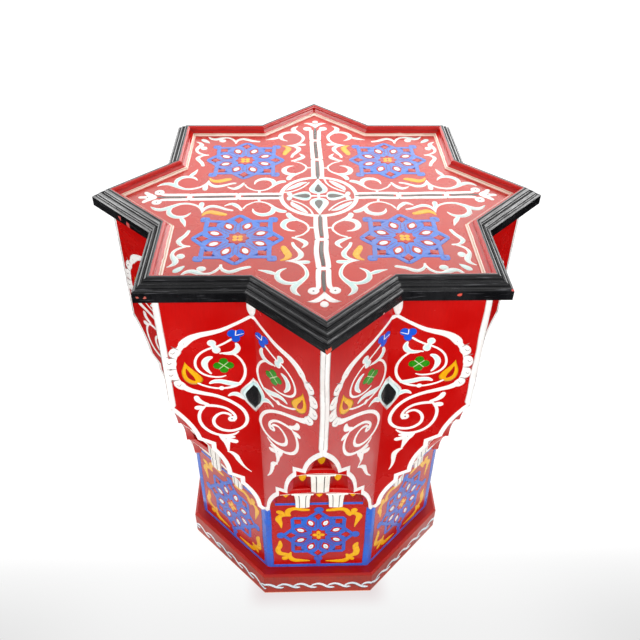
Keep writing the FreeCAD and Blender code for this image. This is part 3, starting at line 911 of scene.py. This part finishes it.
edge_band = border(board_edge(), 5.1)
arris_line = stroke((0, 321, 12), (0, 345, 11.6), (0.2, 380, 12.2), (0, 420, 11.8), (0, 462, 12.2))
arris_crack = stroke((0, 330, 0.4), (0.1, 380, 0.6), (-0.1, 430, 0.5), (0, 458, 0.3))


def on_arrises(drawing, raised, side_share=1.0):
    """The drawing on the arris of each point, narrower on those at the two sides by a share."""
    return together(*[moved(drawing, across=2 * point * wall_width, hand=200 + point, raised=raised,
                            size=(side_share if point % 4 == 2 else 1, 1))
                      for point in range(points_of_star)])


edge_bands = together(*[moved(edge_band, across=2 * point * wall_width, flip=flip)
                        for point in range(points_of_star) for flip in (False, True)])
white_lines = together(edge_bands, on_arrises(arris_line, 0.3, 0.55))
fine_lines = together(beside_valleys(lobe_lines, 1.5), on_arrises(arris_crack, 1.4))

line_white = small_brush("line_white_paint", (255, 253, 250), (248, 242, 238))
scroll_aqua_paint = small_brush("scroll_aqua_paint", (206, 238, 236), (228, 240, 238))
wall_blue = small_brush("wall_blue_paint", (4, 88, 226), (18, 80, 204))
wall_green = small_brush("wall_green_paint", (44, 150, 6), (38, 130, 12))
light_green = small_brush("light_green_paint", (208, 226, 176), (180, 206, 150))
crack_grey = OilPaint("crack_grey_paint", (122, 112, 110), (160, 148, 146)).done(0.3, 0.5)
slit_red = OilPaint("slit_red_paint", (188, 18, 6), (168, 14, 6)).done()
almond_black = OilPaint("almond_black_paint", (26, 26, 27), (38, 37, 38)).done(0.16, 0.3)
for name, drawing, paint in (
        ("wall_white_lines", white_lines, line_white),
        ("wall_fine_lines", fine_lines, crack_grey),
        ("wall_white_scrolls", beside_valleys(scroll_white), line_white),
        ("wall_aqua_leaves", beside_valleys(scroll_aqua, 0.6), scroll_aqua_paint),
        ("wall_trefoils", beside_valleys(trefoil, 0.6), wall_blue),
        ("wall_trefoil_lines", beside_valleys(trefoil_lines, 1.7), line_white),
        ("wall_clovers", beside_valleys(clover, 0.4), wall_green),
        ("wall_clover_lines", beside_valleys(clover_lines, 1.6), light_green),
        ("wall_yellow_leaves", beside_valleys(wall_leaf, 0.4), leaf_yellow),
        ("wall_leaf_slits", beside_valleys(leaf_slit, 1.5), slit_red),
        ("wall_dark_dots", beside_valleys(dark_dots, 1.4), line_black),
        ("wall_almond_edges", on_valleys(almond_outer, 0.5), line_white),
        ("wall_almond_rings", on_valleys(almond_ring, 1.4), scroll_aqua_paint),
        ("wall_almonds", on_valleys(almond, 2.4), almond_black),
        ("wall_knobs", on_valleys(knob, 0.7, knobs_missed), line_white)):
    add_piece(name, drawing, on_walls, paint, wall_folds)


# Top board: a star sawn from glued-up softwood, let into the rebate of the rim. It has the same red
# paint, a ringed flower in the middle, four barred arms that end in palmettes, four blue
# interlaced stars between them, and white scrolls with yellow leaves beside the arms.
top_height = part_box("top_board")[1].z / mm
top_paint = OilPaint("top_red_paint", (194, 28, 12), (180, 20, 10)).done(0.2, 0.32)
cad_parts["top_board"].data.materials[0] = top_paint


def on_top(flat):
    """Paint drawn in plan lies at the height of the board."""
    return flat + np.array([0, 0, top_height])


# Half of what stands beside an arm, as (distance from the arm's line, distance from the middle).
beside_arm = (
    ((24.5, 74.6, 2), (18.6, 71.9, 2), (14.4, 67.5, 2.1), (11.5, 62, 2.1), (12.2, 55.5, 2.2),
     (15.5, 50.2, 2.6), (20.5, 46.3, 3.4), (25.5, 42.9, 5.2), (29.3, 38.4, 6), (30.8, 32.4, 4.6)),
    ((24, 64.8, 1), (29.5, 63.5, 3), (33.4, 60, 4.6), (35.2, 55.8, 5.8), (34.6, 51, 6), (31.8, 47, 6.2),
     (27, 45.4, 5), (22.5, 46.2, 3.2)),
    ((6, 59.6, 2.6), (11, 59, 2.6)),
    ((27.6, 75.4, 2.2), (22.6, 77.7, 3.6), (17.6, 81.4, 5.2), (14.7, 85.4, 4.8), (16.2, 89.8, 2.8),
     (18.8, 92.9, 1)),
    ((27, 83.4, 2.8), (25.2, 90, 3.5), (21.8, 96, 4.2), (19.4, 101.4, 5), (19.8, 106.4, 5), (23, 110.2, 4),
     (27.4, 112.2, 2.6), (32.6, 113.2, 1)),
    ((11.4, 114.6, 4.2), (16, 115, 5.6), (20.5, 114.4, 3.8), (24, 113, 1.6)),
    ((31, 113, 1.4), (24, 114.8, 2.9), (18.5, 119.5, 3), (15, 127, 3.3), (14.6, 135, 3.8), (18.3, 142, 5),
     (23, 148, 6.2), (25.6, 153.5, 6.2), (24.3, 159, 4.4), (19.6, 163.8, 0.8)),
    ((21, 144.4, 3.6), (28, 146.2, 4.6), (34.4, 144.3, 5.6), (38.8, 139, 5.6), (39.4, 132.5, 4.8),
     (36.8, 127.4, 3.4), (31.5, 124, 1)),
    ((40.4, 133, 3.4), (46.4, 129.9, 5.2), (51.5, 127.9, 3.2), (56.6, 126.5, 0.9)),
    ((62.6, 121.6, 3.4), (71, 124.3, 4.4), (77.6, 128.2, 4.9), (82, 129.4, 4.9), (86.3, 127, 4),
     (88.8, 123, 3), (89.3, 117.8, 2.4)),
    ((89.4, 121, 2.2), (92.8, 127.6, 3.1), (97.4, 131.5, 3.3), (102.8, 132.5, 4), (107.8, 130.6, 5.8),
     (112, 128.6, 6.2), (116.4, 128.9, 4.8), (119.6, 131.6, 3), (121.8, 135, 1)))
top_scrolls = together(*[stroke(*line) for line in beside_arm], spot(105.2, 124.8, 8.4, 7.8))
scroll_hearts = together(*[wider(line, -2.2) for line in beside_arm], spot(105.2, 124.8, 6, 5.4))
corner_bud = stroke((119.2, 119.2, 1.2), (123, 123, 5.4), (126.6, 126.6, 6), (128.8, 128.8, 3))
arm_lines = together(stroke((4.2, 37, 4.4), (4.3, 60, 4.5), (4.2, 76, 4.6), (3.7, 79, 4.4), (4.2, 82, 4.6),
                            (4.4, 104, 4.6), (4.2, 122, 4.7), (3.7, 125.4, 4.4), (4.3, 129, 4.6),
                            (4.5, 146, 4.6), (4.9, 151, 4.4), (6.6, 154.4, 4)),
                     spot(9.2, 156.4, 9.8))
arm_tie = together(spot(0, 79, 8, 5), spot(0, 125.4, 8, 5))
arm_bars = together(stroke((0, 36, 3), (0, 56, 3.2), (0, 74.4, 3)),
                    stroke((0, 82.6, 2.8), (0, 100, 3.3), (0, 121.6, 3)),
                    stroke((0, 129, 3), (0, 142, 3.3), (0, 152, 3), (0, 157.6, 1.6)))
tie_notches = together(*[stroke((side * 5.2, up, 1.2), (side * 6.4, up, 1.4))
                         for side in (-1, 1) for up in (79, 125.4)])
palmette = together(dab(*alike((0, 157.6), (0, 157.6), (2.6, 161.6), (5.4, 165.2), (9, 168.6), (14, 171),
                               (14, 171), (9.4, 172.6), (4.6, 172), (1.8, 169), (0, 167.4))),
                    spot(0, 174.8, 7, 8))
trident = together(*[stroke((0, 157.6, 2), (side * 2, 162, 6), (side * 5.8, 166.6, 5.2),
                            (side * 10.4, 170, 4)) for side in (-1, 1)],
                   stroke((0, 158, 2), (0, 163.6, 7), (0, 169.6, 4.8), (0, 175.6, 4.8)))
loop_dots = together(spot(9.2, 156.4, 2), spot(-9.2, 156.4, 2))
yellow_leaf = stroke((37.4, 112.4, 1.2), (32.6, 109.8, 4.2), (30.2, 105, 6.4), (31.8, 99.5, 6.6),
                     (34, 94, 5.8), (34.9, 89, 3.6))

ring_radius, ring_width = 37.8, 4.5
medallion_ring = stroke(*[(ring_radius * math.cos(a), ring_radius * math.sin(a), ring_width)
                          for a in evenly(24)], closed=True)
long_petal = alike((0, 34.5), (0, 34.5), (3.2, 27), (6.2, 21), (8.4, 15.6), (8.4, 10.6), (5.8, 6.6),
                   (0, 4.6))
short_petal = alike((0, 28), (0, 28), (3.6, 23.6), (6.8, 18.6), (8.2, 13.6), (6.6, 9.8), (0, 8.2))
four_petals = (long_petal, 0), (long_petal, 180), (short_petal, 90), (short_petal, 270)
petals = together(*[moved(dab(*outline), turn=turn) for outline, turn in four_petals])
petal_rims = together(*[moved(stroke(*[(x, y, 1.5) for x, y in outline], closed=True), turn=turn)
                        for outline, turn in four_petals])
petal_drop = dab(*alike((0, 24.6), (0, 24.6), (2, 20), (3.6, 15.4), (3.6, 11.2), (0, 8)))
middle_cross = together(stroke((0, -6, 3.4), (0, 0, 2.4), (0, 6, 3.4)),
                        stroke((-9, 0, 3.4), (0, 0, 2.4), (9, 0, 3.4)))
ring_arc = stroke((6.4, 36, 2), (8.6, 27, 1.9), (13.4, 19.4, 1.9), (19.8, 13.4, 1.9), (27.4, 8.6, 2))
ring_leaf_line = ((11.4, 32.2, 1.4), (15.8, 27.4, 5), (21, 21.4, 6.2), (25.6, 16.2, 5.2), (27.2, 11, 1.4))
ring_leaf = stroke(*ring_leaf_line)
ring_leaf_heart = wider(ring_leaf_line, -2.4)
side_lobes = together(*[stroke((side * 28.4, 0, 4), (side * 29.4, lobe * 4.6, 5.4),
                               (side * 30.2, lobe * 8.6, 3.6)) for side in (-1, 1) for lobe in (-1, 1)])


def beside_arms(drawing, raised=0.0):
    """The drawing on both sides of the four arms."""
    return together(*[moved(drawing, turn=90 * arm, flip=flip, raised=raised, hand=300 + 2 * arm + flip)
                      for arm in range(4) for flip in (False, True)])


def on_arms(drawing, raised=0.0, arms=range(4)):
    """The drawing once on each of the arms. Those at the sides are a little longer and askew."""
    return together(*[moved(drawing, turn=90 * arm + 0.5 * (arm % 2), size=1 + 0.024 * (arm % 2),
                            raised=raised, hand=320 + arm) for arm in arms])


star_middle = 77.0
top_star = interlaced_star(corner_loop)


def between_arms(drawing, raised=0.0):
    """The drawing in each of the four places between the arms."""
    return together(*[moved(moved(drawing, star_middle, star_middle), turn=90 * arm, raised=raised,
                            hand=340 + arm) for arm in range(4)])


dot_square = together(*[spot(x, y, 5, 5) for x in (-2.4, 2.4) for y in (-2.4, 2.4)])
bar_grey = small_brush("bar_grey_paint", (72, 66, 66), (92, 86, 84))
top_blue = small_brush("top_blue_paint", (52, 120, 218), (84, 108, 196))
top_aqua = small_brush("top_aqua_paint", (198, 232, 228), (224, 240, 237))
for name, drawing, paint in (
        ("top_scrolls", beside_arms(top_scrolls), line_white),
        ("top_scroll_hearts", beside_arms(scroll_hearts, 0.9), top_aqua),
        ("top_corner_buds", together(*[moved(corner_bud, turn=90 * arm, hand=360 + arm)
                                       for arm in range(4)]), top_aqua),
        ("arm_lines", on_arms(together(arm_lines, moved(arm_lines, flip=True)), 0.3), line_white),
        ("arm_ties", on_arms(arm_tie, 0.5), line_white),
        ("arm_bars", on_arms(arm_bars, 0.2), bar_grey),
        ("arm_marks", on_arms(together(tie_notches, loop_dots), 1.3), bar_grey),
        ("arm_palmettes", together(on_arms(palmette, 0.4, (0, 2)), on_arms(trident, 0.4, (1, 3))),
         line_white),
        ("trident_dots", on_arms(spot(0, 166.6, 1.8), 1.4, (1, 3)), bar_grey),
        ("top_yellow_leaves", beside_arms(yellow_leaf, 0.2), leaf_yellow),
        ("medallion_ring", together(medallion_ring, on_arms(together(ring_arc, ring_leaf)),
                                    moved(petal_rims, raised=1.0), moved(middle_cross, raised=1.0)),
         line_white),
        ("medallion_petals", together(moved(petals, raised=0.3), side_lobes,
                                      on_arms(ring_leaf_heart, 0.9)), top_aqua),
        ("medallion_drops", on_arms(petal_drop, 1.5), bar_grey),
        ("top_stars", between_arms(top_star, 0.3), top_blue),
        ("top_star_gaps", between_arms(star_gaps, 1.6), top_paint),
        ("top_star_seams", between_arms(star_seams, 1.6), seam_purple),
        ("top_star_drops", between_arms(star_drops, 2.5), drop_white),
        ("top_star_dots", between_arms(dot_square, 2.5), leaf_yellow)):
    add_piece(name, drawing, on_top, paint)


# Rim: sixteen lengths of moulded softwood, mitred at every tip and valley and nailed over the board's
# edge. Black outside and over the ridge, dark red on the inner side, with a cream line at its foot.
rim_face_reach = -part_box("rim_moulding_01")[0].y / mm / diagonal
rim = OilPaint("rim_paint", (15, 15, 17), (32, 32, 34), gloss_tint=(1.0, 1.0, 1.0, 1.0))
x, y, z = (rim.place.axis(number) for number in range(3))

# The star's outline is that of two squares, one turned by 45 degrees, laid over each other. The inset
# is how far a place lies inside it. The brush ran along the lengths, so its streaks are fine across
# them, at 900 a metre, and drawn out along them.
upright_square = abs(x).math("MAXIMUM", abs(y))
tilted_square = (abs(x) + abs(y)) * (1 / diagonal)
inset = rim_face_reach * mm - upright_square.math("MINIMUM", tilted_square)
across_streaks, along_streaks = 900, 40
streaks = inset.make("CombineXYZ", {}, {0: inset * across_streaks, 1: z * across_streaks,
                                        2: (x + y * 2.3) * along_streaks})
rim.strokes = streaks.make("TexNoise", {}, {"Vector": streaks, "Scale": 1.0, "Detail": 3.0})
# Light grey streaks on the brush strokes along the lengths: painted highlights.
rim.over(rim.strokes.between(0.6, 0.72) * 0.6, (96, 96, 100))
# A broken light grey line along the top edge of the nosing: a painted highlight.
edge_highlight = inset.band(1.9 * mm, 2.3 * mm, 2.8 * mm, 3.2 * mm)
rim.over(edge_highlight * rim.strokes.between(0.46, 0.56) * 0.5, (150, 150, 152))
# The two grooves are painted plain black, without the grey streaks, and made rough: painted shade.
shaded_grooves = inset.band(6.0 * mm, 6.3 * mm, 7.3 * mm, 7.6 * mm)
shaded_grooves = shaded_grooves + inset.band(11.1 * mm, 11.4 * mm, 12.4 * mm, 12.7 * mm)
rim.over(shaded_grooves, (16, 16, 18))
rim.gloss = rim.gloss * 0.25 + shaded_grooves * 0.3 + 0.22

# From the ridge inwards the red, a darker red in the hollow, which is painted shade, and red again.
# Then the cream line, which is rubbed off along the camera's side of the stool and lies a little
# further in there.
edge = inset + rim.place.noise(0.012, 2.0) * (1.6 * mm)
for start, full, colour in ((14.3, 14.8, (190, 24, 16)), (17.0, 17.6, (168, 16, 12)),
                            (18.2, 18.6, (190, 24, 16))):
    rim.over(edge.between(start * mm, full * mm), colour)
camera_side = 0 - y
foot = edge - camera_side.between(158 * mm, 172 * mm) * (1.2 * mm)
rubbed = camera_side.between(-2 * mm, 2 * mm) * abs(abs(x) - 137.6 * mm).between(3 * mm, 4 * mm)
for start, full, colour in ((20.3, 20.7, (250, 232, 214)), (21.3, 21.6, (206, 172, 142)),
                            (22.4, 22.7, (250, 226, 210))):
    rim.over(foot.between(start * mm, full * mm) * (1 - rubbed * 0.75), colour)

# Where the black has come off down to the red: on the front tip, and here and there on the edges.
torn = rim.place.noise(0.0025, 3.0) * (4.5 * mm)
for chip, size, colour in (
        ((1.4, -223.6, 464.6), 5.6, (226, 84, 62)), ((113.6, -159.1, 468.2), 4.0, (214, 84, 70)),
        ((158.2, -159.1, 472.4), 4.4, (214, 90, 84)), ((-192.5, -32.5, 466.6), 4.6, (214, 96, 92)),
        ((-183.3, -41.7, 464.4), 5.4, (214, 96, 92)), ((-154.7, -159.1, 467.4), 4.0, (190, 96, 84)),
        ((-148, -159.1, 467.2), 3.6, (190, 96, 84)), ((48.5, -176.5, 462.4), 3.4, (222, 150, 140)),
        ((150.4, -126.4, 479), 3.8, (176, 216, 226)), ((150.8, -134.2, 478), 3.6, (176, 216, 226))):
    away = {0: rim.place, 1: [part * mm for part in chip]}
    away = rim.place.make("VectorMath", {"operation": "DISTANCE"}, away, 1) + torn
    rim.over(1 - away.between((size - 0.6) * mm, size * mm), colour)
rim_coat = rim.done(0.1, 0.9, 0.00016)
paint_all("rim_moulding_%02d", 2 * points_of_star, rim_coat)


# Glue blocks in the corners of the core and cleats under the points: offcuts of bare softwood,
# rubbed in with glue, out of sight unless the stool is turned over.
wood = OilPaint("bare_softwood", (206, 166, 116), (184, 140, 92))
rings_of_wood = wood.place.noise(0.004, 3.0, (1.0, 1.0, 12.0))
wood.over(rings_of_wood.between(0.5, 0.62) * 0.5, (156, 108, 62))
bare_wood = wood.done(0.6, 0.8, 0.0001)
for name in ("corner_glue_blocks", "point_cleats"):
    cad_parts[name].data.materials[0] = bare_wood


# The studio: a pale floor that keeps the stool's soft shadow and is white to the camera, and a plain
# bright room round it, darker on the camera's side, that the gloss of the paint shows.
bpy.ops.mesh.primitive_plane_add(size=12)
floor = bpy.context.object
floor.name = "studio_floor"
floor_material = bpy.data.materials.new("studio_floor")
floor_material.use_nodes = True
floor_tree = floor_material.node_tree
place = Shade(floor_tree.nodes.new("ShaderNodeTexCoord").outputs["Object"])
to_camera = Shade(floor_tree.nodes.new("ShaderNodeLightPath").outputs["Is Camera Ray"])
mirrored = Shade(to_camera.socket.node.outputs["Is Glossy Ray"])

# What the gloss of the paint shows of the floor: bright near the stool's sides and far behind it.
sideways, backwards = abs(place.axis(0)), place.axis(1)
beside = sideways.between(0.17, 0.27) * 0.75 + sideways.band(0.12, 0.15, 0.19, 0.22) * 0.6 + 0.5
near = backwards.between(-0.37, -0.17) * (1 - sideways.between(0.26, 0.58)) * beside
far = sideways.between(0.85, 1.1) * backwards.between(0.4, 0.8) * 0.7

# What the camera sees of it: white, with a grey breath of shade in front of the stool and a soft
# reddish shadow along its foot.
forward = 0 - backwards
in_front = forward.between(0.0, 0.14)
shadow = in_front * (1 - forward.between(0.157, 0.187)) * (1 - sideways.between(0.065, 0.095))
nearby = (1 - forward.between(0.26, 0.5)) * (1 - sideways.between(0.45, 0.7))
grey = forward.between(0.06, 0.24) * nearby * (sideways.between(0.2, 0.42) * 0.1 + 0.12) + shadow * 0.13
white = in_front * 0.2 + backwards.between(0.5, 1.2) * 0.2 + 0.8 - grey
glow = to_camera * white + mirrored * (near + far)
tint = shadow.blend((1.0, 1.0, 1.0, 1.0), (1.0, 0.92, 0.93, 1.0))
emission = glow.make("Emission", {}, {"Color": tint, "Strength": glow})
diffuse = glow.make("BsdfDiffuse", {}, {"Color": (0.82, 0.82, 0.82, 1)})
black = glow.make("BsdfDiffuse", {}, {"Color": (0.0, 0.0, 0.0, 1)})
# To the camera the lamps light the floor half as much behind the stool, and not at all in front.
unlit = to_camera * (in_front * 0.5 + 0.5)
seen = unlit.make("MixShader", {}, {0: unlit, 1: diffuse, 2: black})
seen = mirrored.make("MixShader", {}, {0: mirrored, 1: seen, 2: black})
lit = seen.make("AddShader", {}, {0: seen, 1: emission})
floor_tree.links.new(lit.socket, floor_tree.nodes["Material Output"].inputs["Surface"])
floor.data.materials.append(floor_material)

world = bpy.data.worlds.new("studio_room")
scene.world = world
world.use_nodes = True
room_tree = world.node_tree
room = room_tree.nodes["Background"]
ray = Shade(room_tree.nodes.new("ShaderNodeLightPath").outputs["Is Camera Ray"])
glossy = Shade(ray.socket.node.outputs["Is Glossy Ray"])
direction = Shade(room_tree.nodes.new("ShaderNodeTexCoord").outputs["Generated"])
to_side, to_back, up = (direction.axis(number) for number in range(3))

# In the gloss the room is bright behind the stool, dark on the camera's side, and has a window far
# up on each side. On the paint itself it shines evenly, and a little more from the front.
back = to_back.between(-0.5, 0.1) * 0.7 + to_back.between(0.55, 0.86) * 1.6
back = back + to_back.between(0.72, 0.88) * 0.9 - to_back.between(0.88, 0.92) * 1.8
back = back + (0 - to_back).between(0.25, 0.55) * 0.5
sides = to_side.between(-0.2, 0.4) * 0.35 + abs(to_side).between(0.15, 0.35) * 0.14 + 0.94
windows = abs(to_side).between(0.6, 0.9) * to_back.between(-0.1, 0.15) * up.between(0.05, 0.3) * 11
in_gloss = back * sides + windows
in_colour = (0 - to_back).between(0.4, 1.0) * 0.55 + 0.21
strength = ray + glossy * in_gloss + (1 - ray - glossy) * in_colour
room_tree.links.new(strength.socket, room.inputs["Strength"])
room.inputs["Color"].default_value = (1, 1, 1, 1)

for name, size, energy, where, tilt, turn in (
        ("left_lamp", 1.0, 15.0, (-1.05, -1.35, 1.0), 68, -38),
        ("right_lamp", 1.0, 15.0, (1.05, -1.35, 1.0), 68, 38),
        ("back_lamp", 0.7, 11.0, (0.0, 0.75, 0.95), -57, 0)):
    lamp = bpy.data.objects.new(name, bpy.data.lights.new(name, "AREA"))
    scene.collection.objects.link(lamp)
    lamp.data.size = size
    lamp.data.energy = energy
    lamp.location = where
    lamp.rotation_euler = (math.radians(tilt), 0.0, math.radians(turn))
    lamp.visible_glossy = False
